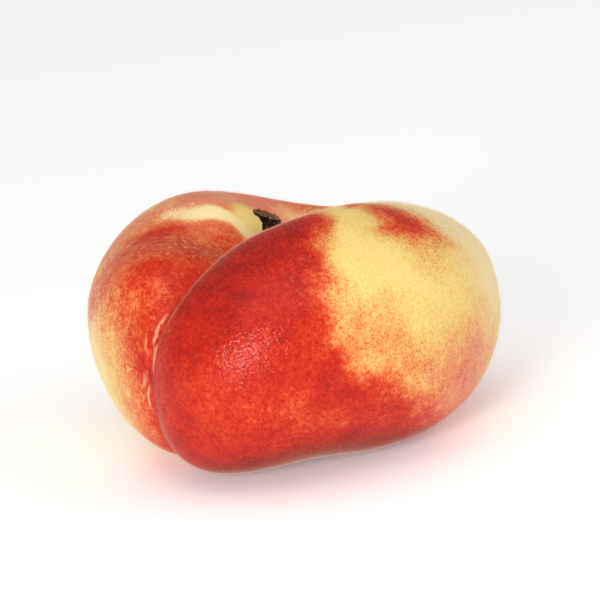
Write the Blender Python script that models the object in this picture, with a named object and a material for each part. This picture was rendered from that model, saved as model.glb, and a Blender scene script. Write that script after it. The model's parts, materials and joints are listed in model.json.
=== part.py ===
"""A flat peach with its stalk, standing on its base. Metres, +Z up, the suture faces -Y.

The fruit is one solid: a squat ball with an oval hollow round the stalk, a shallow one at the
blossom end, and a suture groove that runs from one hollow to the other between two lobes. The
stalk is a short woody stub that stands in a socket at the bottom of the upper hollow.
Azimuths are in degrees, 0 at the suture, growing towards the right-hand lobe seen from there.
Polar angles are in degrees too, 0 at the stalk and 180 at the blossom end.
"""

import math

import bmesh
import bpy
from mathutils import Vector

# The plain oval that the fruit grows from.
RADIUS = 0.037
CROWN_HEIGHT = 0.660 * RADIUS
BASE_DEPTH = 0.683 * RADIUS
EQUATOR_BLEND = 0.4
CROWN_WAVE_FADE = 0.35

# Slow waves round the fruit: (times round, size, azimuth of a crest).
OUTLINE_WAVES = ((1, 0.0244, 109), (2, 0.0509, 90), (3, 0.0427, 38))
CROWN_WAVES = ((1, 0.0874, -55.2), (2, 0.1090, 89.5), (3, 0.0223, 35.7))
BASE_WAVES = ((1, 0.006, 110),)

# How square the side is: 2 is an ellipse. It changes in waves round the fruit too.
CROWN_SQUARENESS, CROWN_SQUARENESS_WAVES = 2.21, ((1, 0.345, 85.1),)
BASE_SQUARENESS = 2.22
BASE_SQUARENESS_WAVES = ((1, 0.285, -45.1), (2, 0.079, -48.2), (3, 0.255, -12.6))

# The hollow round the stalk, drawn out towards the left lobe, and the one at the blossom end.
STALK_HOLLOW_DEPTH, STALK_HOLLOW_STEEPNESS = 0.314 * RADIUS, 2.2
STALK_HOLLOW_WIDTH, STALK_HOLLOW_EXTRA_WIDTH = 0.305 * RADIUS, 0.274 * RADIUS
STALK_HOLLOW_AZIMUTH, STALK_HOLLOW_SPREAD = -76, 60
BLOSSOM_HOLLOW_DEPTH, BLOSSOM_HOLLOW_WIDTH = 0.224 * RADIUS, 0.403 * RADIUS

# The suture groove: its depth at the equator, over the crown and over the base.
GROOVE_DEPTH, GROOVE_CROWN_DEPTH, GROOVE_BASE_DEPTH = 0.043 * RADIUS, 0.145 * RADIUS, 0.065 * RADIUS
GROOVE_CROWN_POLAR, GROOVE_BASE_POLAR, GROOVE_POLAR_SPREAD = 45, 130, 28
LEFT_BANK, RIGHT_BANK = 0.100 * RADIUS, 0.081 * RADIUS
GROOVE_ROUNDING = 0.2
SUTURE_LEAN, SUTURE_BOW = 7.0, -2.1

# Swellings beside the groove: (height, azimuth, spread, polar angle, spread).
SWELLINGS = (
    (0.156 * RADIUS, 19, 31, 92, 46),
    (0.015 * RADIUS, -31, 34, 95, 42),
    (0.086 * RADIUS, -23, 20, 54, 20),
)
POLE_FADE = 0.3 * RADIUS
FLATTENING = 0.00035

# The mesh: columns run from hollow to hollow and crowd to the suture, rings crowd to the hollows.
COLUMNS, RINGS = 84, 64
COLUMN_CROWDING, RING_CROWDING = 0.60, 0.45

# The stalk, and the socket that holds it with a hair's clearance. The top rings line the socket.
SOCKET_RADIUS, SOCKET_DEPTH, CLEARANCE = 0.0022, 0.0022, 0.0003
SOCKET_RINGS = 2
STALK_HEIGHT, STALK_LEAN, STALK_AZIMUTH = 0.0070, 0.0024, -45.5
STALK_TOP_RADIUS, STALK_TOP_LIFT = 0.0027, 0.25
STALK_RIBS = ((3, 0.07, 20), (5, 0.05, 50))
STALK_SIDES, STALK_LEVELS = 20, 9


def bell(value, middle, width):
    """1 at the middle, falling smoothly to nothing either side."""
    return math.exp(-(((value - middle) / width) ** 2))


def ease(share):
    share = min(max(share, 0.0), 1.0)
    return share * share * (3 - 2 * share)


def waves(terms, azimuth):
    return sum(size * math.cos(math.radians(times * (azimuth - crest))) for times, size, crest in terms)


def turned(angle, away):
    """How far an azimuth is from another, at most half a turn."""
    return (angle - away + 180) % 360 - 180


def groove(azimuth, polar, radius):
    """Depth of the suture groove at a point of the plain oval."""
    depth = GROOVE_DEPTH
    depth += (GROOVE_CROWN_DEPTH - GROOVE_DEPTH) * bell(polar, GROOVE_CROWN_POLAR, GROOVE_POLAR_SPREAD)
    depth += (GROOVE_BASE_DEPTH - GROOVE_DEPTH) * bell(polar, GROOVE_BASE_POLAR, GROOVE_POLAR_SPREAD)
    bank = LEFT_BANK if azimuth < 0 else RIGHT_BANK
    across = math.hypot(radius * math.radians(azimuth) / bank, GROOVE_ROUNDING) - GROOVE_ROUNDING
    return depth * math.exp(-across)


def swellings(azimuth, polar):
    total = 0
    for height, at_azimuth, azimuth_spread, at_polar, polar_spread in SWELLINGS:
        share_round = bell(azimuth, at_azimuth, azimuth_spread)
        total += height * share_round * bell(polar, at_polar, polar_spread)
    return total


def hollows(azimuth, radius, up):
    """How much lower the crown lies, or how much higher the base, because of the two hollows."""
    if up < 0:
        return BLOSSOM_HOLLOW_DEPTH * bell(radius, 0, BLOSSOM_HOLLOW_WIDTH)
    width = STALK_HOLLOW_WIDTH
    width += STALK_HOLLOW_EXTRA_WIDTH * bell(turned(azimuth, STALK_HOLLOW_AZIMUTH), 0, STALK_HOLLOW_SPREAD)
    return -STALK_HOLLOW_DEPTH * math.exp(-((radius / width) ** STALK_HOLLOW_STEEPNESS))


def skin_point(azimuth, polar):
    """A point of the skin."""
    up, out = math.cos(math.radians(polar)), math.sin(math.radians(polar))
    outline = RADIUS * (1 + waves(OUTLINE_WAVES, azimuth))
    crown = CROWN_HEIGHT + RADIUS * waves(CROWN_WAVES, azimuth) * ease(out / CROWN_WAVE_FADE)
    base = BASE_DEPTH + RADIUS * waves(BASE_WAVES, azimuth)
    crown_squareness = CROWN_SQUARENESS + waves(CROWN_SQUARENESS_WAVES, azimuth)
    base_squareness = BASE_SQUARENESS + waves(BASE_SQUARENESS_WAVES, azimuth)
    blend = ease((up / EQUATOR_BLEND + 1) / 2)
    height = base + (crown - base) * blend
    squareness = base_squareness + (crown_squareness - base_squareness) * blend

    radius = outline * out ** (2 / squareness)
    level = math.copysign(height * abs(up) ** (2 / squareness), up)
    slope = Vector((radius / outline**2, level / height**2)).normalized()
    offset = swellings(azimuth, polar) - groove(azimuth, polar, radius)
    offset *= min(radius / POLE_FADE, 1.0)
    level += hollows(azimuth, radius, up) + slope.y * offset
    radius += slope.x * offset
    turn = math.radians(azimuth + SUTURE_LEAN * up + SUTURE_BOW * (2 * up * up - 1))
    return Vector((radius * math.sin(turn), -radius * math.cos(turn), level))


def column_azimuth(share):
    """Column azimuth, for a share from -1 to 1 round the fruit."""
    return math.copysign(180 * ((1 - COLUMN_CROWDING) * abs(share) + COLUMN_CROWDING * share**2), share)


def ring_polar(share):
    """Polar angle of a ring, for a share from 0 at the stalk to 1 at the blossom end."""
    return 180 * (share - RING_CROWDING * math.sin(2 * math.pi * share) / (2 * math.pi))


def socket_point(ring, azimuth):
    """The top rings line the socket: its middle, its corner and its mouth."""
    mouth = skin_point(azimuth, ring_polar(SOCKET_RINGS / RINGS)).z
    floor = skin_point(0, 0).z - SOCKET_DEPTH
    level = mouth if ring == SOCKET_RINGS else floor
    reach = SOCKET_RADIUS if ring else 0
    angle = math.radians(azimuth)
    return Vector((reach * math.sin(angle), -reach * math.cos(angle), level))


def material(name, colour, roughness):
    made = bpy.data.materials.new(name)
    made.use_nodes = True
    shader = made.node_tree.nodes["Principled BSDF"]
    shader.inputs["Base Color"].default_value = (*colour, 1)
    shader.inputs["Roughness"].default_value = roughness
    shader.inputs["Metallic"].default_value = 0
    return made


def add_object(name, shape, finish):
    mesh = bpy.data.meshes.new(name)
    bmesh.ops.recalc_face_normals(shape, faces=shape.faces)
    shape.to_mesh(mesh)
    shape.free()
    mesh.materials.append(finish)
    mesh.shade_smooth()
    made = bpy.data.objects.new(name, mesh)
    bpy.context.scene.collection.objects.link(made)
    return made


def make_fruit():
    """The ball's own columns and rings are sent to their places on the skin."""
    shape = bmesh.new()
    bmesh.ops.create_uvsphere(shape, u_segments=COLUMNS, v_segments=RINGS, radius=1)
    for vertex in shape.verts:
        ring = round(math.acos(min(max(vertex.co.z, -1), 1)) / math.pi * RINGS)
        azimuth = column_azimuth(math.atan2(vertex.co.x, -vertex.co.y) / math.pi)
        if ring <= SOCKET_RINGS:
            vertex.co = socket_point(ring, azimuth)
        else:
            vertex.co = skin_point(azimuth, ring_polar(ring / RINGS))

    floor = min(vertex.co.z for vertex in shape.verts) + FLATTENING
    for vertex in shape.verts:
        vertex.co.z = max(vertex.co.z, floor)
    return add_object("fruit", shape, material("skin", (0.80, 0.22, 0.07), 0.55))


def stalk_point(angle, share):
    """A point of the stalk's side: it leans, flares at its broken end and is highest on one side."""
    flare = ease((share - 0.55) / 0.4)
    radius = (SOCKET_RADIUS - CLEARANCE) * (1 - flare) + STALK_TOP_RADIUS * flare
    radius *= 1 + waves(STALK_RIBS, angle) * ease(share / 0.4)
    lean = Vector((math.sin(math.radians(STALK_AZIMUTH)), -math.cos(math.radians(STALK_AZIMUTH)), 0))
    side = Vector((radius * math.sin(math.radians(angle)), -radius * math.cos(math.radians(angle)), 0))
    bottom = skin_point(0, 0).z - SOCKET_DEPTH + CLEARANCE
    height = bottom + share * (STALK_HEIGHT + SOCKET_DEPTH - CLEARANCE)
    height += STALK_TOP_LIFT * side.dot(lean) * flare
    above = ease((share - 0.15) / 0.85)
    return side + lean * STALK_LEAN * above + Vector((0, 0, height))


def make_stalk():
    shape = bmesh.new()
    bmesh.ops.create_cone(shape, cap_ends=True, segments=STALK_SIDES, radius1=1, radius2=1, depth=1)
    upright = [edge for edge in shape.edges if abs(edge.verts[0].co.z - edge.verts[1].co.z) > 0.5]
    bmesh.ops.subdivide_edges(shape, edges=upright, cuts=STALK_LEVELS - 2)
    for vertex in shape.verts:
        angle = math.degrees(math.atan2(vertex.co.x, -vertex.co.y))
        vertex.co = stalk_point(angle, vertex.co.z + 0.5)
    ends = [face for face in shape.faces if len(face.verts) == STALK_SIDES]
    bmesh.ops.poke(shape, faces=ends)
    return add_object("stalk", shape, material("stalk_wood", (0.12, 0.05, 0.03), 0.85))


def stand_at_origin(parts):
    """Move the parts together, so that the middle of their box's floor is the origin."""
    points = [vertex.co for part in parts for vertex in part.data.vertices]
    low = [min(point[i] for point in points) for i in range(3)]
    high = [max(point[i] for point in points) for i in range(3)]
    middle = Vector(((low[0] + high[0]) / 2, (low[1] + high[1]) / 2, low[2]))
    for part in parts:
        for vertex in part.data.vertices:
            vertex.co -= middle
    print("moved by", middle, "size", Vector(high) - Vector(low))


for old in list(bpy.data.objects):
    bpy.data.objects.remove(old)
stand_at_origin([make_fruit(), make_stalk()])
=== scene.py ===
# %% [markdown]
# # A ripe flat peach
# A flat peach is a low, ring-shaped cushion with a sunken crown.
# The solid model already gives its true size and main form.
# These cells put the finish on it: a skin with a red blush over
# yellow, the bloom of fine down, and a dry broken stalk.
# The frame is in metres, with +Z up. The long groove, the suture,
# faces -Y, and the fruit stands on z = 0.

import bpy
import json
import math
import numpy as np
from mathutils import Matrix, Vector, noise

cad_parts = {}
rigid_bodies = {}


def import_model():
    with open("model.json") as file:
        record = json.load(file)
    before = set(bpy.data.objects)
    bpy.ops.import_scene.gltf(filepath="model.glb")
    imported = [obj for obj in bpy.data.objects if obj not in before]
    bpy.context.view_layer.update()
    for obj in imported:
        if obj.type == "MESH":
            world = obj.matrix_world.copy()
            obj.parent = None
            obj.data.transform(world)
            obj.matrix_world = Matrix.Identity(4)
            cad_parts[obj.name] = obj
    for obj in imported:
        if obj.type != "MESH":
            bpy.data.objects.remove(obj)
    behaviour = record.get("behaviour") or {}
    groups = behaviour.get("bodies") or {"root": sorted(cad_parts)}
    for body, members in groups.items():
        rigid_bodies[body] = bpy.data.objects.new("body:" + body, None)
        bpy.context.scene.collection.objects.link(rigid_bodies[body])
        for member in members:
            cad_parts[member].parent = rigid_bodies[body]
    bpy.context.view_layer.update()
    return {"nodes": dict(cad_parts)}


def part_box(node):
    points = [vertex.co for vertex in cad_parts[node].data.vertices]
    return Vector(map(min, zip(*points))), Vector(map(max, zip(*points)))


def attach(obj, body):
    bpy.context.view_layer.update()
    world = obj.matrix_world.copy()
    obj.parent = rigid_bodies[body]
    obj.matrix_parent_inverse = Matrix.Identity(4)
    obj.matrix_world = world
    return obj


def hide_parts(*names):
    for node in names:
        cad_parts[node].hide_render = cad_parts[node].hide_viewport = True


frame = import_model()

# %% [markdown]
# ## Where things are on the fruit
# Every mark on the skin is placed by two angles, as towns are on a
# globe. Azimuth goes round the axis, from 0 at the suture, positive
# towards +X. Latitude goes up from the widest ring, the waist.
# Both are measured from the core, the point on the axis at the waist.

# %% Measure angles on the skin
CORE = Vector((0.0005, 0.0016, 0.0213))
RADIUS = 0.037
MM = 0.001


def angles_of(points):
    """Azimuth and latitude, in degrees, of each row of an array of points."""
    across, depth, up = (points - np.array(CORE)).T
    azimuth = np.degrees(np.arctan2(across, -depth))
    latitude = np.degrees(np.arctan2(up, np.hypot(across, depth)))
    return azimuth, latitude


def ease(x):
    """A smooth step from 0 to 1 while x goes from 0 to 1."""
    x = np.clip(x, 0.0, 1.0)
    return x * x * (3.0 - 2.0 * x)


def bell(x, middle, width):
    """A smooth bump, 1 at its middle."""
    return np.exp(-(((x - middle) / width) ** 2))


def points_of(thing):
    """The places of a mesh's vertices, one row each."""
    places = np.zeros(len(thing.data.vertices) * 3)
    thing.data.vertices.foreach_get("co", places)
    return places.reshape(-1, 3)


def put_points(thing, places):
    thing.data.vertices.foreach_set("co", places.ravel())
    thing.data.update()


def blend(values, target, mask):
    """Moves values towards a target, all the way where the mask is 1."""
    return values + (target - values) * mask


def keep_values(thing, name, values):
    """Stores one number for each vertex, for a material to read."""
    layer = thing.data.attributes.new(name, "FLOAT", "POINT")
    layer.data.foreach_set("value", np.asarray(values, np.float32))


def clear_choice():
    """Nothing is selected, so that an operator acts on the next piece alone."""
    for thing in bpy.context.view_layer.objects:
        thing.select_set(False)


def choose(thing):
    clear_choice()
    thing.select_set(True)
    bpy.context.view_layer.objects.active = thing


def direction(azimuth, elevation):
    """A unit vector towards an azimuth and elevation in degrees."""
    a, e = math.radians(azimuth), math.radians(elevation)
    return Vector((math.sin(a) * math.cos(e), -math.cos(a) * math.cos(e), math.sin(e)))


fruit_low, fruit_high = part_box("fruit")
print("fruit:", tuple(round(v, 4) for v in fruit_high - fruit_low))

# %% [markdown]
# ## The skin's form
# The skin could be sculpted afresh, but the solid fruit is already the
# right form, only in flat facets. So its mesh is copied, its loose
# triangles are merged and paired into quads, and two rounds of
# Subdivision Surface round the facets off. The solid itself stays as
# it is: the skin stands in for it in the picture.

# %% Copy the solid and round it off
def copy_of(node, name):
    """A merged copy of a solid's mesh, as a new piece."""
    piece = bpy.data.objects.new(name, frame["nodes"][node].data.copy())
    bpy.context.scene.collection.objects.link(piece)
    choose(piece)
    bpy.ops.object.mode_set(mode="EDIT")
    bpy.ops.mesh.select_all(action="SELECT")
    bpy.ops.mesh.remove_doubles(threshold=0.000002)
    bpy.ops.mesh.tris_convert_to_quads(
        face_threshold=math.radians(70), shape_threshold=math.radians(70)
    )
    bpy.ops.mesh.normals_make_consistent(inside=False)
    bpy.ops.object.mode_set(mode="OBJECT")
    return piece


def apply_all(piece):
    """Applies the piece's modifiers in order."""
    choose(piece)
    for modifier in list(piece.modifiers):
        bpy.ops.object.modifier_apply(modifier=modifier.name)


skin = copy_of("fruit", "peach_skin")
rounding = skin.modifiers.new("round off", "SUBSURF")
rounding.levels = 2
rounding.render_levels = 2
apply_all(skin)
bpy.ops.object.shade_smooth()
skin.data.calc_loop_triangles()
print("skin:", len(skin.data.vertices), "vertices,",
      len(skin.data.loop_triangles), "triangles")

# %% [markdown]
# ## Small unevenness
# A grown skin is never a perfect surface: it has low lumps a few
# millimetres wide. Smooth noise moves each vertex in or out by about a
# tenth of a millimetre. The lumps fade out towards the base, so that
# the fruit still stands on its flat.

# %% Press in the low lumps
LUMP_SIZE = 0.009
LUMP_HEIGHT = 0.00016
LUMPS_FULL_AT = 0.004  # height above the ground


def lump(point):
    """Smooth noise from -1 to 1 at a point."""
    return noise.noise(Vector(point) / LUMP_SIZE)


places = points_of(skin)
normals = np.zeros(len(places) * 3)
skin.data.vertices.foreach_get("normal", normals)
normals = normals.reshape(-1, 3)
standing = ease(places[:, 2] / LUMPS_FULL_AT)
push = np.array([lump(p) for p in places]) * LUMP_HEIGHT * standing
put_points(skin, places + normals * push[:, None])
print("lumps, mm:", round(push.min() / MM, 3), "to", round(push.max() / MM, 3))

# %% [markdown]
# ## Where the blush lies
# The side of a peach that sees the sun turns red, and the side that a
# leaf shades stays yellow. The blush is laid on as a painter would:
# soft oval patches, one over another, each with its own redness, from
# 0 for yellow to a little over 1 for the deepest red. The edges wander
# with a little noise.
# The lowest patch is painted shade: it darkens the red towards the base. The result is one number
# for each vertex, which the material reads.

# %% Lay the blush
PATCHES = (
    # name, azimuth, latitude, half width, half height, tilt, softness, redness
    ("far side", -125, 25, 60, 60, 0, 0.6, 0.42),
    ("yellow window", 106, 24, 49, 52, 0, 0.36, 0.0),
    ("golden skirt", 93, -15, 26, 18, 0, 1.5, 0.36),
    ("golden fringe", 66, 0, 14, 13, 0, 1.4, 0.30),
    ("warm left lobe", -20, 0, 30, 50, 0, 0.8, 0.68),
    ("cream cheek", -50, -11, 39, 29, 0, 1.5, 0.0),
    ("sun flank", 25, 2, 26, 110, -7, 0.46, 0.90),
    ("red belt", 50, -15.5, 50, 19, -34, 0.45, 0.88),
    ("deep red shoulder", 34, 32, 30, 12, 36, 1.0, 1.06),
    ("crown halo", 98, 34, 16, 12, 0, 1.4, 0.34),
    ("crown blush", 95, 38, 9, 7.5, 0, 1.3, 0.72),
    ("crown fleck", 91, 50, 9, 3, 0, 1.2, 0.55),
    ("red crown", -26, 42, 28, 17, -26, 0.8, 0.66),
    ("crown tail", -47, 21, 14, 14, 0, 1.3, 0.51),
    ("crown gap", -17, 43, 7, 5, 0, 1.2, 0.72),
    ("pale shoulder", -80, 24, 27, 22, 0, 0.9, 0.16),
    ("pink shoulder", -58, 32, 11, 20, 0, 1.0, 0.36),
    ("far rim", -108, 52, 45, 9, 2, 0.9, 0.50),
    ("far lip", -146, 50, 12, 6, 0, 1.4, 0.2),
    ("cream lip", -63, 58, 6, 14, 40, 1.5, 0.0),
    ("salmon mottles", 58, -13, 22, 6, -20, 1.4, 0.70),
    # painted shade: darker, redder skin towards the base, where the underside lies in shade
    ("painted base shade", 55, -37, 58, 17, -4, 1.2, 1.2),
)
BASE_REDNESS = 0.6
UNDERSIDE_REDNESS = 0.55
UNDERSIDE_EDGE = -46.0  # latitude
HOLLOW_EDGE = 62.0
HOLLOW_SWING = 8.0
DRIFT_SIZE = 0.0085
DRIFT = 0.16
WANDER_SIZE = 0.006
WANDER_ANGLE = 5.0
OTHER_NOISE = Vector((7, 3, 5))
CALM_RIM = ("far rim", -95, 56, 55, 13, 6, 0.9, 1.0)
RIM_CALM = 0.8  # share of the wander that the rim loses


def patch_mask(azimuth, latitude, patch):
    """1 inside the oval patch, falling softly to 0 outside."""
    middle, height, wide, tall, tilt, softness = patch[1:-1]
    across = (azimuth - middle + 180.0) % 360.0 - 180.0
    up = latitude - height
    c, s = math.cos(math.radians(tilt)), math.sin(math.radians(tilt))
    distance = np.hypot((across * c + up * s) / wide, (up * c - across * s) / tall)
    return ease((1.0 - distance) / softness + 0.5)


def wander_at(point):
    """Two smooth random numbers at a point, for azimuth and for latitude."""
    spot = Vector(point) / WANDER_SIZE
    return noise.noise(spot), noise.noise(spot + OTHER_NOISE)


places = points_of(skin)
azimuth, latitude = angles_of(places)
# The edges wander, least on the calm far rim.
calm = patch_mask(azimuth, latitude, CALM_RIM)
wander = np.array([wander_at(p) for p in places]) * WANDER_ANGLE
wander *= 1.0 - RIM_CALM * calm[:, None]
around, above = azimuth + wander[:, 0], latitude + wander[:, 1]

blush = np.full(len(places), BASE_REDNESS)
for patch in PATCHES:
    blush = blend(blush, patch[-1], patch_mask(around, above, patch))
drift = np.array([noise.noise(Vector(p) / DRIFT_SIZE) for p in places])
blush = blush + DRIFT * drift * bell(blush, 0.6, 0.5)
# The hollow is yellow, down to a lip that is higher beside the suture.
lip = HOLLOW_EDGE + HOLLOW_SWING * np.cos(np.radians(around))
blush *= 1.0 - ease((latitude - lip) / 6.0 + 0.5)
# Underneath, towards the blossom end, the patches run together.
blush = blend(blush, UNDERSIDE_REDNESS, ease((UNDERSIDE_EDGE - latitude) / 24.0))
keep_values(skin, "blush", blush)
print("blush: mean", round(float(blush.mean()), 2))

# %% [markdown]
# ## The other tones
# Red and yellow alone make a flat fruit. Some places are paler, some
# are rose-pink, the deep hollow is greenish, and a few scuffs mark
# the crown. The rose-pink is partly the skin's own tone and partly
# painted sheen: the pale pink haze that the down shows along the
# edges and the far rim, seen at grazing angles. How lively the dots
# are also changes from place to place. Each of these is one more
# number for each vertex.

# %% Mark the other tones
PALE_PATCHES = (
    # name, azimuth, latitude, half width, half height, tilt, softness, strength
    ("shaded edge", 126, 34, 18, 40, 0, 1.2, 1.0),
    ("lip of the hollow", -62, 56, 12, 16, 31, 1.0, 0.9),
    ("shaded cheek", -54, -4, 22, 34, 0, 1.2, 0.8),
    ("far wall of the hollow", -166, 42, 22, 14, 0, 1.0, 0.8),
)
# rose-pink patches: partly the skin's tone, partly painted sheen of the down along edges seen at
# grazing angles
ROSE_AND_SHEEN_PATCHES = (
    ("far rim", -108, 52, 55, 11, 2, 1.0, 1.0),
    ("left shoulder", -68, 34, 14, 24, 0, 1.2, 0.8),
    ("right skirt", 107, -12, 20, 20, -20, 1.3, 1.0),
    ("left cheek", -46, -22, 22, 24, 0, 1.2, 0.5),
)
SCUFFED_PATCHES = (
    ("crown flecks", -22, 43, 15, 10, 0, 1.2, 1.0),
    ("flank flecks", 50, 25, 5, 8, 0, 1.0, 0.2),
)
LEFT_LOBE = ("left lobe", -44, -2, 44, 36, 0, 0.8, 1.0)
LEFT_EDGE = ("left edge", -72, 30, 14, 28, 0, 1.2, 1.0)
LEFT_CROWN = ("left crown", -36, 42, 40, 20, 0, 0.9, 1.0)
LEFT_LOBE_EXTRA = 0.30
RIM_LIVELY = 0.3
EDGE_LIVELY = 0.45
CROWN_LIVELY = 0.62
GREEN_EDGE = 68.0  # latitude


def strongest(azimuth, latitude, patches):
    """The strongest of several patches at each place."""
    masks = [patch_mask(azimuth, latitude, patch) * patch[-1] for patch in patches]
    return np.max(masks, axis=0)


lively = 1.0 + LEFT_LOBE_EXTRA * patch_mask(azimuth, latitude, LEFT_LOBE)
lively = blend(lively, RIM_LIVELY, calm)
lively = blend(lively, EDGE_LIVELY, patch_mask(azimuth, latitude, LEFT_EDGE))
lively = blend(lively, CROWN_LIVELY, patch_mask(azimuth, latitude, LEFT_CROWN))
flecked = sum(patch_mask(azimuth, latitude, patch) * patch[-1] for patch in SCUFFED_PATCHES)
keep_values(skin, "lively", lively)
keep_values(skin, "pale", strongest(around, above, PALE_PATCHES))
keep_values(skin, "rose_and_sheen", strongest(around, above, ROSE_AND_SHEEN_PATCHES))
keep_values(skin, "flecked", flecked)
keep_values(skin, "green", ease((latitude - GREEN_EDGE) / 12.0))
print("lively: from", round(float(lively.min()), 2), "to", round(float(lively.max()), 2))

# %% [markdown]
# ## The suture's own line
# Along the bottom of the groove runs a fine pale line, broken into
# streaks where the two lobes rub. The line leans and bows a little on
# its way down, so its azimuth is worked out from the height.

# %% Find the suture
LEAN = 7.0
BOW = -2.1
RUBBED_FROM = -8.0  # mm above the waist
RUBBED_TO = 10.5
FADE = 2.0
FAR_AWAY = 0.05


def suture_azimuth(height):
    """Azimuth of the groove's bottom at a height above the waist."""
    share = np.clip(height / (0.66 * RADIUS), -1.0, 1.0)
    return LEAN * share + BOW * (2.0 * share**2 - 1.0)


offset = np.radians(azimuth - suture_azimuth(places[:, 2] - CORE.z))
reach = np.hypot(places[:, 0] - CORE.x, places[:, 1] - CORE.y)
from_suture = np.where(np.abs(azimuth) < 90.0, offset * reach, FAR_AWAY)
rise = (places[:, 2] - CORE.z) / MM
rubbed = ease((rise - RUBBED_FROM) / FADE) * ease((RUBBED_TO - rise) / FADE)
keep_values(skin, "from_suture", from_suture / MM)
keep_values(skin, "rubbed", rubbed)
print("suture: leans", LEAN, "degrees to each side of 0, bows", BOW)

# %% [markdown]
# ## Nodes in a few words
# A material is a chain of nodes. These helpers add a node, set its
# sockets, and link them, so that a recipe below reads like a list.

# %% Helpers for materials
def add(tree, kind, settings=None, **sockets):
    """A node with its settings and sockets; a socket's value may be an output."""
    made = tree.nodes.new(kind)
    for key, value in (settings or {}).items():
        setattr(made, key, value)
    for key, value in sockets.items():
        numbered = key[0] == "i" and key[1:].isdigit()
        slot = made.inputs[int(key[1:]) if numbered else key.replace("_", " ")]
        if isinstance(value, bpy.types.NodeSocket):
            tree.links.new(value, slot)
        else:
            slot.default_value = value
    return made


def sum_of(tree, a, b):
    return add(tree, "ShaderNodeMath", {"operation": "ADD"}, i0=a, i1=b).outputs[0]


def times(tree, a, b):
    return add(tree, "ShaderNodeMath", {"operation": "MULTIPLY"}, i0=a, i1=b).outputs[0]


def span(tree, value, low, high, to_low=0.0, to_high=1.0, curve="SMOOTHSTEP"):
    """Maps a value from one range to another, and holds it there."""
    made = add(tree, "ShaderNodeMapRange", {"interpolation_type": curve},
               i0=value, i1=low, i2=high, i3=to_low, i4=to_high)
    return made.outputs[0]


def speckle(tree, place, size, detail=2.0, roughness=0.5):
    """Cloudy noise from 0 to 1, whose lumps are about that many metres wide."""
    return add(tree, "ShaderNodeTexNoise", Vector=place, Scale=1.0 / size,
               Detail=detail, Roughness=roughness).outputs["Fac"]


def mix(tree, factor, first, second, how="MIX"):
    """Two colours mixed."""
    made = add(tree, "ShaderNodeMix", {"data_type": "RGBA", "blend_type": how})
    for key, value in ((0, factor), (6, first), (7, second)):
        if isinstance(value, bpy.types.NodeSocket):
            tree.links.new(value, made.inputs[key])
        else:
            made.inputs[key].default_value = value
    return made.outputs[2]


def ramp(tree, value, stops):
    """A colour for each value, from a list of (value, colour)."""
    made = add(tree, "ShaderNodeValToRGB", Fac=value)
    scale = made.color_ramp.elements
    while len(scale) < len(stops):
        scale.new(0.5)
    for stop, (at, colour) in zip(scale, stops):
        stop.position = at
        stop.color = (*colour, 1.0)
    return made.outputs[0]


def layer_value(tree, name):
    """The number that each vertex of the piece keeps under this name."""
    return add(tree, "ShaderNodeAttribute", {"attribute_name": name}).outputs["Fac"]


def new_finish(name):
    """An empty material with its Principled shader."""
    finish = bpy.data.materials.new(name)
    finish.use_nodes = True
    tree = finish.node_tree
    tree.nodes.clear()
    out = tree.nodes.new("ShaderNodeOutputMaterial")
    shader = tree.nodes.new("ShaderNodeBsdfPrincipled")
    tree.links.new(shader.outputs[0], out.inputs[0])
    place = tree.nodes.new("ShaderNodeTexCoord").outputs["Object"]
    return finish, tree, shader, place


def grey(*stops):
    """Stops of plain strengths for a ramp, from pairs of (value, strength)."""
    return [(at, (strength,) * 3) for at, strength in stops]


print("helpers for materials are ready")

# %% [markdown]
# ## The skin's colour
# The colour follows the blush, but not smoothly: up close the red is
# thousands of dots, about half a millimetre apart, that grow denser
# until they close up. So three patterns are added to the blush before
# it picks a colour: dots, fine grain, and mottling a few millimetres
# wide. Each has its own strength for each redness.

# %% Make the skin's colour
SKIN_COLOURS = (
    (0.00, (0.82, 0.615, 0.205)),
    (0.08, (0.79, 0.53, 0.16)),
    (0.22, (0.74, 0.33, 0.095)),
    (0.38, (0.69, 0.15, 0.042)),
    (0.58, (0.585, 0.042, 0.011)),
    (0.74, (0.48, 0.018, 0.006)),
    (0.88, (0.34, 0.011, 0.005)),
    (1.00, (0.25, 0.008, 0.004)),
)
DEEPEST = 1.25
DOT_SPACING = 0.00046
DOT_EDGE, DOT_CORE = 0.46, 0.20  # shares of the spacing
GRAIN = 0.00085
MOTTLE = 0.0030
CREAM_COLOUR = (0.86, 0.70, 0.38, 1.0)
ROSE_AND_SHEEN_COLOUR = (0.80, 0.36, 0.26, 1.0)
GREEN_COLOUR = (0.60, 0.42, 0.12, 1.0)
CREAM_SHARE, ROSE_AND_SHEEN_SHARE, GREEN_SHARE = 0.9, 0.38, 0.8

skin_finish, tree, shader, place = new_finish("downy peach skin")
blushing = layer_value(tree, "blush")
lively_here = layer_value(tree, "lively")

# Dots: one in each cell of a Voronoi pattern, some strong and some faint.
cells = add(tree, "ShaderNodeTexVoronoi", Vector=place, Scale=1.0 / DOT_SPACING, Randomness=1.0)
cell_luck = add(tree, "ShaderNodeSeparateColor", Color=cells.outputs["Color"]).outputs[0]
dot = span(tree, cells.outputs["Distance"], DOT_EDGE, DOT_CORE)
dot = times(tree, dot, span(tree, cell_luck, 0.0, 1.0, 0.45, 1.0, "LINEAR"))
dot_strength = ramp(tree, blushing, grey(
    (0.0, 0.17), (0.10, 0.26), (0.30, 0.36), (0.62, 0.32), (1.0, 0.16),
))
dot_part = times(tree, times(tree, dot, dot_strength), lively_here)
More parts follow.
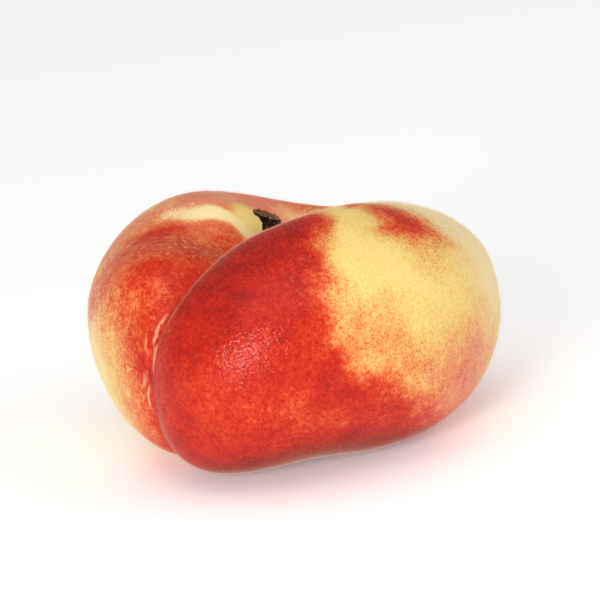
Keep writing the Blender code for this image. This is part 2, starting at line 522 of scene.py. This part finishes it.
# Grain: the finest mixing of red and yellow.
grain = speckle(tree, place, GRAIN, 3.0, 0.6)
grain_strength = ramp(tree, blushing, grey(
    (0.0, 0.24), (0.2, 0.44), (0.5, 0.85), (0.8, 0.75), (1.0, 0.50),
))
grain_part = times(tree, times(tree, sum_of(tree, grain, -0.5), grain_strength), lively_here)
mottling = speckle(tree, place, MOTTLE, 3.0, 0.6)
mottle_strength = ramp(tree, blushing, grey(
    (0.0, 0.16), (0.3, 0.45), (0.6, 0.62), (1.0, 0.44),
))
mottle_part = times(tree, sum_of(tree, mottling, -0.5), mottle_strength)
with_dots = sum_of(tree, blushing, dot_part)
redness = sum_of(tree, with_dots, sum_of(tree, grain_part, mottle_part))
colour = ramp(tree, times(tree, redness, 1.0 / DEEPEST), SKIN_COLOURS)
# The rose tone, partly pink skin and partly painted sheen of the down at grazing edges, lies
# between yellow and deep red, the cream tone on yellow alone.
neither = times(tree, span(tree, redness, 0.08, 0.30), span(tree, redness, 0.95, 0.6))
rose_and_sheen_part = times(tree, layer_value(tree, "rose_and_sheen"), neither)
colour = mix(tree, times(tree, rose_and_sheen_part, ROSE_AND_SHEEN_SHARE), colour, ROSE_AND_SHEEN_COLOUR)
cream_part = times(tree, layer_value(tree, "pale"), span(tree, redness, 0.45, 0.05))
colour = mix(tree, times(tree, cream_part, CREAM_SHARE), colour, CREAM_COLOUR)
green_part = times(tree, layer_value(tree, "green"), GREEN_SHARE)
colour = mix(tree, green_part, colour, GREEN_COLOUR)
print("skin colour:", len(SKIN_COLOURS), "stops,", len(tree.nodes), "nodes so far")

# %% [markdown]
# ## Streaks and scuffs
# Where the two lobes rub, the skin heals in pale streaks. They follow
# a line that sways a little, cut into dashes by noise that is
# stretched along the height, with a fainter line of dashes on its left.

# %% Add the streaks and scuffs
STREAK_COLOUR = (0.80, 0.44, 0.22, 1.0)
STREAKS = (
    # mm beside the line, half width in mm, noise level where it starts, strength
    (0.7, 0.60, 0.44, 0.62),
    (2.2, 0.80, 0.50, 0.45),
)
SWAY_SIZE, SWAY = 0.006, 4.0
DASH_SIZE, DASH_STRETCH = 0.0011, 0.32
SCUFF_SIZE, SCUFF_SHARE = 0.0009, 0.5

sway = times(tree, sum_of(tree, speckle(tree, place, SWAY_SIZE, 0.0), -0.5), SWAY)
from_line = sum_of(tree, layer_value(tree, "from_suture"), sway)
stretched = add(tree, "ShaderNodeMapping", Vector=place, Scale=(1.0, 1.0, DASH_STRETCH))
broken = speckle(tree, stretched.outputs[0], DASH_SIZE, 1.5)
for shift, half_width, start, strength in STREAKS:
    off_line = sum_of(tree, from_line, shift)
    beside = add(tree, "ShaderNodeMath", {"operation": "ABSOLUTE"}, i0=off_line).outputs[0]
    line = span(tree, beside, half_width, half_width * 0.2)
    streak = times(tree, line, span(tree, broken, start, start + 0.12))
    streak = times(tree, streak, layer_value(tree, "rubbed"))
    colour = mix(tree, times(tree, streak, strength), colour, STREAK_COLOUR)
# A few pale scuffs on the crown.
scuffs = span(tree, speckle(tree, place, SCUFF_SIZE, 2.0, 0.6), 0.56, 0.66)
scuffs = times(tree, scuffs, layer_value(tree, "flecked"))
colour = mix(tree, times(tree, scuffs, SCUFF_SHARE), colour, STREAK_COLOUR)
tree.links.new(colour, shader.inputs["Base Color"])
print("streaks:", len(STREAKS), "lines of dashes")

# %% [markdown]
# ## The skin's surface
# Small pores break the soft highlight into sparks, so the glossy coat
# gets a stronger bump than the skin below it. The sheen gives the pale
# bloom that down has at grazing angles.

# %% Finish the skin
PORE_SIZE, COARSE_SIZE = 0.00060, 0.0013
PORE_DEPTH, SKIN_DEPTH = 0.00018, 0.00012

pores = speckle(tree, place, PORE_SIZE, 1.0, 0.5)
coarse = speckle(tree, place, COARSE_SIZE, 2.0, 0.5)
relief = sum_of(tree, pores, times(tree, coarse, 0.5))
sparks = add(tree, "ShaderNodeBump", Strength=1.0, Distance=PORE_DEPTH, Height=relief)
tree.links.new(sparks.outputs[0], shader.inputs["Coat Normal"])
bump = add(tree, "ShaderNodeBump", Strength=0.15, Distance=SKIN_DEPTH, Height=relief)
tree.links.new(bump.outputs[0], shader.inputs["Normal"])
tree.links.new(span(tree, coarse, 0.3, 0.7, 0.45, 0.60), shader.inputs["Roughness"])
shader.inputs["Specular IOR Level"].default_value = 0.0
shader.inputs["Coat Weight"].default_value = 0.32
shader.inputs["Coat Roughness"].default_value = 0.17
shader.inputs["Coat IOR"].default_value = 1.5
shader.inputs["Sheen Weight"].default_value = 0.64
shader.inputs["Sheen Roughness"].default_value = 0.20
shader.inputs["Sheen Tint"].default_value = (1.0, 0.80, 0.62, 1.0)

skin.data.materials.clear()
skin.data.materials.append(skin_finish)
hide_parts("fruit")
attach(skin, "root")
print("skin finish:", len(tree.nodes), "nodes")

# %% [markdown]
# ## Where the down grows
# A peach is covered in down, hairs less than a millimetre long that lean
# over. They are too many for the hand, so their roots are drawn at
# random over the skin, with a fixed seed. None grow where the fruit
# stands, and few on the slopes of the crown.

# %% Choose the roots of the down
DOWN_HAIRS = 48000
BARE_BELOW = 0.0010
FULL_OVER = 0.006
THIN_DOWN = (
    # name, azimuth, latitude, half width, half height, tilt, softness, share left out
    ("crown of the left lobe", -36, 38, 56, 28, 0, 0.7, 0.97),
    ("crown blush", 104, 36, 30, 20, 0, 0.8, 0.6),
)
draw = np.random.default_rng(11)

skin.data.calc_loop_triangles()
corner_names = np.zeros(len(skin.data.loop_triangles) * 3, np.int32)
skin.data.loop_triangles.foreach_get("vertices", corner_names)
corner_names = corner_names.reshape(-1, 3)
corners = points_of(skin)[corner_names]
edge_a, edge_b = corners[:, 1] - corners[:, 0], corners[:, 2] - corners[:, 0]
across = np.cross(edge_a, edge_b)
area = np.linalg.norm(across, axis=1)
middles = corners.mean(axis=1)
room = area * ease((middles[:, 2] - BARE_BELOW) / FULL_OVER)
for patch in THIN_DOWN:
    room *= 1.0 - patch_mask(*angles_of(middles), patch) * patch[-1]
chosen = draw.choice(len(area), DOWN_HAIRS, p=room / room.sum())
u, v = draw.random(DOWN_HAIRS), draw.random(DOWN_HAIRS)
u, v = np.where(u + v > 1, 1 - u, u), np.where(u + v > 1, 1 - v, v)
roots = corners[chosen, 0] + edge_a[chosen] * u[:, None] + edge_b[chosen] * v[:, None]
outward = across[chosen] / area[chosen, None]
print("roots:", len(roots), "from", round(roots[:, 2].min() / MM, 1), "mm up")

# %% [markdown]
# ## The down's hairs
# Blender's hair curves would draw them, but they don't travel with
# an exported model. So each hair is a thin closed spike of four small
# faces, and all are built in one go. A hair takes the tone of the skin
# that it stands on.

# %% Grow the down
DOWN_LENGTH = (0.00035, 0.00070)
DOWN_RADIUS = 0.0000065
DOWN_LEAN = 1.1
SPIKE_SIDES = 3
SPIKE_FACES = ((0, 2, 1), (0, 1, 3), (1, 2, 3), (2, 0, 3))

loose = draw.normal(size=(DOWN_HAIRS, 3))
loose -= (loose * outward).sum(1)[:, None] * outward
loose /= np.linalg.norm(loose, axis=1)[:, None]
sideways = np.cross(outward, loose)
length = draw.uniform(*DOWN_LENGTH, DOWN_HAIRS)[:, None]
tips = outward + loose * DOWN_LEAN * draw.random(DOWN_HAIRS)[:, None]
tips = roots + tips / np.linalg.norm(tips, axis=1)[:, None] * length
hair_points = np.empty((DOWN_HAIRS, SPIKE_SIDES + 1, 3))
hair_points[:, SPIKE_SIDES] = tips
for k in range(SPIKE_SIDES):
    turn = math.tau * k / SPIKE_SIDES
    ring = loose * math.cos(turn) + sideways * math.sin(turn)
    hair_points[:, k] = roots - outward * DOWN_RADIUS * 2 + ring * DOWN_RADIUS
base = (np.arange(DOWN_HAIRS) * (SPIKE_SIDES + 1))[:, None]
hair_faces = np.concatenate([base + np.array(face) for face in SPIKE_FACES])
down_mesh = bpy.data.meshes.new("peach_down")
down_mesh.from_pydata(hair_points.reshape(-1, 3).tolist(), [], hair_faces.tolist())
down = bpy.data.objects.new("peach_down", down_mesh)
bpy.context.scene.collection.objects.link(down)
keep_values(down, "blush", np.repeat(blush[corner_names[chosen, 0]], SPIKE_SIDES + 1))

down_finish, tree, shader, place = new_finish("down")
tint = ramp(tree, layer_value(tree, "blush"), (
    (0.05, (0.90, 0.66, 0.30)), (0.35, (0.84, 0.42, 0.20)), (0.8, (0.78, 0.24, 0.11)),
))
tree.links.new(tint, shader.inputs["Base Color"])
shader.inputs["Roughness"].default_value = 0.6
shader.inputs["Specular IOR Level"].default_value = 0.3
down_mesh.materials.append(down_finish)
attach(down, "root")
print("down:", DOWN_HAIRS, "hairs,", len(down_mesh.polygons), "faces")

# %% [markdown]
# ## The stalk
# The stub is what is left of the twig: a short ribbed shaft that ends
# in a torn lip, wider on the side it was pulled to. It starts as
# a cylinder in the fruit's socket. Its top face is extruded ring by ring,
# each ring shifted and scaled, then the lip is pushed out and the
# broken face is inset and sunk. Subdivision Surface and three rounds of
# Displace, with cloud and cell textures, turn it into bark.

# %% Raise the stalk's shaft
stalk_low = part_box("stalk")[0]
PULL_AZIMUTH = -45.5
SHAFT_RADIUS = 0.00178
SHAFT_SIDES = 18
FIRST_RISE = 0.0012
ROOT_GAP = 0.0001

clear_choice()
bpy.ops.mesh.primitive_cylinder_add(
    vertices=SHAFT_SIDES, radius=SHAFT_RADIUS, depth=FIRST_RISE, end_fill_type="NGON",
    location=(0, 0, stalk_low.z + FIRST_RISE / 2 + ROOT_GAP),
)
stub = bpy.context.object
stub.name = "stalk_stub"
bpy.ops.object.transform_apply(location=True)


def choose_top():
    """Selects the face that ends the stub, and returns its middle."""
    bpy.ops.object.mode_set(mode="OBJECT")
    ends = [face for face in stub.data.polygons if len(face.vertices) == SHAFT_SIDES]
    top = max(ends, key=lambda face: face.center.z)
    for part in (stub.data.polygons, stub.data.edges, stub.data.vertices):
        part.foreach_set("select", [False] * len(part))
    top.select = True
    middle = top.center.copy()
    bpy.ops.object.mode_set(mode="EDIT")
    bpy.ops.mesh.select_mode(type="FACE")
    return middle


RINGS = (
    # rise, shift towards the pull, radius along the pull, radius across it, tilt
    # (all in mm, and the tilt in degrees)
    (1.6, 0.25, 1.75, 1.80, 0),
    (1.8, 0.65, 1.75, 1.75, 0),
    (1.8, 0.60, 1.80, 1.72, 5),
    (1.75, 0.10, 1.75, 1.80, 11),
    (0.12, 0.60, 2.60, 2.05, 11),
    (0.34, 0.00, 2.80, 2.20, 4),
    (0.22, -0.10, 2.55, 2.00, 0),
)
along_before, across_before = SHAFT_RADIUS, SHAFT_RADIUS
for rise, shift, along, across_it, tilt in RINGS:
    step = Vector((shift * MM, 0, rise * MM))
    middle = choose_top() + step
    bpy.ops.mesh.extrude_region_move(TRANSFORM_OT_translate={"value": step})
    stretch = (along * MM / along_before, across_it * MM / across_before, 1.0)
    bpy.ops.transform.resize(value=stretch, center_override=middle)
    bpy.ops.transform.rotate(value=math.radians(tilt), orient_axis="Y", center_override=middle)
    along_before, across_before = along * MM, across_it * MM
bpy.ops.object.mode_set(mode="OBJECT")
rim = [v.co for v in stub.data.vertices if v.select]
print("stalk rim, mm: height", round(min(rim, key=lambda c: c.x).z / MM, 2),
      "to", round(max(rim, key=lambda c: c.x).z / MM, 2), "on the pulled side")

# %% [markdown]
# ## The stalk's torn end and bark
# Wood tears in steps, so the end face is inset three times, down, up
# and down again. The stub is then turned towards the side it was
# pulled to, rounded off, and roughened at three sizes.

# %% Sink the broken end and roughen the bark
INSETS = ((0.0005, -0.0002), (0.0007, 0.00015), (0.0005, -0.0003))
BARK_RELIEF = (
    # name, texture, size, height
    ("lumps", "CLOUDS", 0.0012, 0.00050),
    ("flakes", "VORONOI", 0.0007, 0.00045),
    ("crumbs", "CLOUDS", 0.0003, 0.00022),
)

choose_top()
for thickness, depth in INSETS:
    bpy.ops.mesh.inset(thickness=thickness, depth=depth)
bpy.ops.object.mode_set(mode="OBJECT")
choose(stub)
stub.rotation_euler.z = math.radians(PULL_AZIMUTH - 90.0)
stub.location = (CORE.x, CORE.y, 0.0)
bpy.ops.object.transform_apply(location=True, rotation=True, scale=True)
rounding = stub.modifiers.new("round off", "SUBSURF")
rounding.levels = rounding.render_levels = 3
for label, kind, size, height in BARK_RELIEF:
    texture = bpy.data.textures.new(label, kind)
    texture.noise_scale = size
    press = stub.modifiers.new(label, "DISPLACE")
    press.texture = texture
    press.texture_coords = "LOCAL"
    press.strength = height
    press.mid_level = 0.5
apply_all(stub)
bpy.ops.object.shade_smooth()
stub.data.calc_loop_triangles()
print("stalk:", len(stub.data.loop_triangles), "triangles")

# %% [markdown]
# ## The stalk's finish
# Dry bark is nearly black along the shaft: partly the bark's own colour,
# partly painted shade on the shaft's sides. The torn face on top, where
# the wood shows, is a dull brown with reddish edges, made lighter still
# as painted light where it faces up. The two are mixed by how far the
# surface faces up, so the top is painted lit and the sides shaded.

# %% Finish the stalk
BARK_GRAIN, BARK_BUMP_SIZE = 0.0009, 0.0003

bark_finish, tree, shader, place = new_finish("dry stalk bark")
rind = speckle(tree, place, BARK_GRAIN, 4.0, 0.6)
# near-black: the bark's dark colour together with painted shade on the shaft's sides
bark = ramp(tree, rind, (
    (0.3, (0.006, 0.003, 0.002)), (0.55, (0.020, 0.008, 0.005)), (0.8, (0.09, 0.022, 0.012)),
))
# lighter torn wood, also painted light where the top faces up
torn = ramp(tree, rind, (
    (0.3, (0.07, 0.014, 0.008)), (0.48, (0.20, 0.080, 0.038)), (0.75, (0.42, 0.24, 0.12)),
))
# painted light and shade: faces turned up take the lighter torn colour, the sides the near-black
# one
facing = add(tree, "ShaderNodeTexCoord").outputs["Normal"]
up_and_lit_share = add(tree, "ShaderNodeSeparateXYZ", Vector=facing).outputs[2]
tree.links.new(mix(tree, span(tree, up_and_lit_share, 0.35, 0.8), bark, torn), shader.inputs["Base Color"])
shader.inputs["Roughness"].default_value = 0.8
shader.inputs["Specular IOR Level"].default_value = 0.12
crumbs = speckle(tree, place, BARK_BUMP_SIZE, 3.0)
bump = add(tree, "ShaderNodeBump", Strength=0.6, Distance=0.0002, Height=crumbs)
tree.links.new(bump.outputs[0], shader.inputs["Normal"])
stub.data.materials.append(bark_finish)
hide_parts("stalk")
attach(stub, "root")
print("stalk finish:", len(tree.nodes), "nodes")

# %% [markdown]
# ## The floor
# A pale floor that fills the view. It glows a little, so that it stays
# white behind the fruit, where less light falls.

# %% Lay the floor
FLOOR_RADIUS = 3.0

clear_choice()
bpy.ops.mesh.primitive_circle_add(
    vertices=96, radius=FLOOR_RADIUS, fill_type="NGON", location=(0, 0, 0),
)
floor = bpy.context.object
floor.name = "studio_floor"
floor_finish, tree, shader, place = new_finish("pale floor")
shader.inputs["Base Color"].default_value = (0.985, 0.985, 0.98, 1.0)
shader.inputs["Roughness"].default_value = 0.9
shader.inputs["Specular IOR Level"].default_value = 0.1
shader.inputs["Emission Color"].default_value = (1.0, 1.0, 1.0, 1.0)
shader.inputs["Emission Strength"].default_value = 0.18
floor.data.materials.append(floor_finish)
print("floor:", 2 * FLOOR_RADIUS, "m across")

# %% [markdown]
# ## The camera
# A long lens, half a metre away, a little above the fruit and to the
# right of the suture. It is rolled by a few degrees.

# %% Set up the camera
VIEW_AZIMUTH = 44.5
VIEW_ELEVATION = 16.07
VIEW_ROLL = 6.13
VIEW_DISTANCE = 14.0 * RADIUS

camera_data = bpy.data.cameras.new("camera")
camera = bpy.data.objects.new("camera", camera_data)
bpy.context.scene.collection.objects.link(camera)
towards = direction(VIEW_AZIMUTH, VIEW_ELEVATION)
turn = towards.to_track_quat("Z", "Y").to_matrix().to_4x4()
roll = Matrix.Rotation(-math.radians(VIEW_ROLL), 4, "Z")
camera.matrix_world = Matrix.Translation(CORE + towards * VIEW_DISTANCE) @ turn @ roll
camera_data.sensor_width = 36.0
camera_data.lens = 170.8
camera_data.shift_x = 0.0171
camera_data.shift_y = 0.0296
camera_data.clip_start = 0.01
bpy.context.scene.camera = camera
print("camera:", round(VIEW_DISTANCE, 3), "m from the core")

# %% [markdown]
# ## The lights
# A large soft light overhead, a small one low at the front left for the
# highlight, a fill on the right, and an even white surround.

# %% Set up the lights
SURROUND = 0.38


def soft_light(name, azimuth, elevation, distance, size, power, slant=0.0):
    """An oblong area light that faces the fruit, from angles round the camera's side."""
    data = bpy.data.lights.new(name, "AREA")
    data.shape = "RECTANGLE"
    data.size, data.size_y = size
    data.energy = power
    lamp = bpy.data.objects.new(name, data)
    bpy.context.scene.collection.objects.link(lamp)
    way = direction(VIEW_AZIMUTH + azimuth, elevation)
    facing = way.to_track_quat("Z", "Y").to_matrix().to_4x4()
    slanted = Matrix.Rotation(math.radians(slant), 4, "Z")
    lamp.matrix_world = Matrix.Translation(CORE + way * distance) @ facing @ slanted
    print(name + ":", power, "W")


soft_light("overhead soft box", -5, 70, 4.0, (4.0, 4.0), 57.5)
soft_light("front soft box", -22, 15, 0.9, (0.50, 0.17), 5.2, 45)
soft_light("right fill", 70, 25, 2.0, (1.6, 1.6), 10.0)
world = bpy.data.worlds.new("studio surround")
world.use_nodes = True
world.node_tree.nodes["Background"].inputs[0].default_value = (1.0, 1.0, 1.0, 1.0)
world.node_tree.nodes["Background"].inputs[1].default_value = SURROUND
bpy.context.scene.world = world
bpy.context.scene.view_settings.view_transform = "Standard"
bpy.context.scene.view_settings.look = "None"
